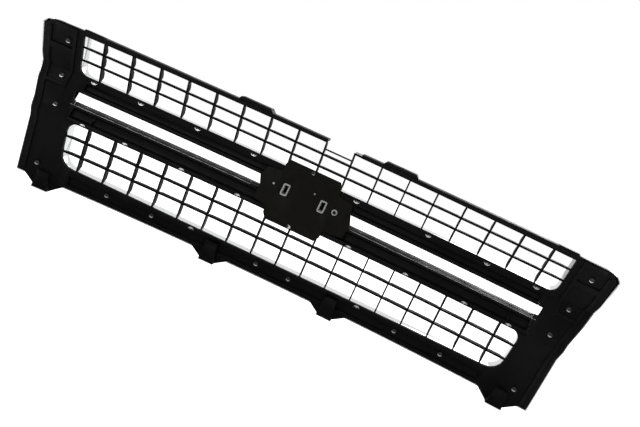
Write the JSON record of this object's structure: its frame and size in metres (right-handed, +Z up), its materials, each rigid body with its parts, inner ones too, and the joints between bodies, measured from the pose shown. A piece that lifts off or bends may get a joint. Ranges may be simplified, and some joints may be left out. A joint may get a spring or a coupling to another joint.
{
  "type": "front grille",
  "caption": "Bowed vehicle front grille: bright surround and centre bars over two black egg-crate grids, with black rear carriers, bolt-down tabs, feet and spring clips.",
  "frame": {"origin": "centre of the whole grille's bounding box, on the vehicle's centre line", "axes": "+X across the vehicle to the right as seen from the front, +Y rearwards, +Z up; the bright face looks along -Y"},
  "size_m": [1.099, 0.1406, 0.3168],
  "materials": {
    "bright_plating": "bright plated plastic, mirror smooth",
    "grid_moulding": "satin black injection moulding",
    "black_moulding": "satin black injection moulding",
    "backing_moulding": "smooth satin black moulding, slightly warm",
    "grey_plastic": "natural grey plastic",
    "zinc_plating": "zinc-plated spring steel"
  },
  "bodies": {
    "root": {"surround": "bright_plating", "centre_bar_upper": "bright_plating", "centre_bar_lower": "bright_plating", "badge_blank": "bright_plating", "upper_grid": "grid_moulding", "lower_grid": "grid_moulding", "top_rail_left": "black_moulding", "top_rail_right": "black_moulding", "mid_rail_upper": "black_moulding", "mid_rail_lower": "black_moulding", "bottom_rail": "black_moulding", "end_panel_left": "black_moulding", "end_panel_right": "black_moulding", "backing_plate": "backing_moulding", "badge_sleeve_left": "grey_plastic", "badge_sleeve_right": "grey_plastic", "badge_push_nut": "grey_plastic", "top_tab_left": "black_moulding", "top_tab_right": "black_moulding", "upper_clip_1": "zinc_plating", "upper_clip_2": "zinc_plating", "upper_clip_3": "zinc_plating", "upper_clip_4": "zinc_plating", "upper_clip_5": "zinc_plating", "upper_clip_6": "zinc_plating", "upper_clip_7": "zinc_plating", "upper_clip_8": "zinc_plating", "lower_clip_1": "zinc_plating", "lower_clip_2": "zinc_plating", "lower_clip_3": "zinc_plating", "lower_clip_4": "zinc_plating", "lower_clip_5": "zinc_plating", "lower_clip_6": "zinc_plating", "lower_clip_7": "zinc_plating", "lower_clip_8": "zinc_plating", "sill_screw_1": "zinc_plating", "sill_screw_2": "zinc_plating", "sill_screw_3": "zinc_plating", "sill_screw_4": "zinc_plating", "sill_screw_5": "zinc_plating", "sill_screw_6": "zinc_plating", "sill_clip_1": "zinc_plating", "sill_clip_2": "zinc_plating", "end_screw_left_1": "zinc_plating", "end_screw_left_2": "zinc_plating", "end_screw_left_3": "zinc_plating", "end_screw_left_4": "zinc_plating", "end_screw_right_1": "zinc_plating", "end_screw_right_2": "zinc_plating", "end_screw_right_3": "zinc_plating", "end_screw_right_4": "zinc_plating", "plate_screw_1": "zinc_plating", "plate_screw_2": "zinc_plating"}
  },
  "joints": []
}
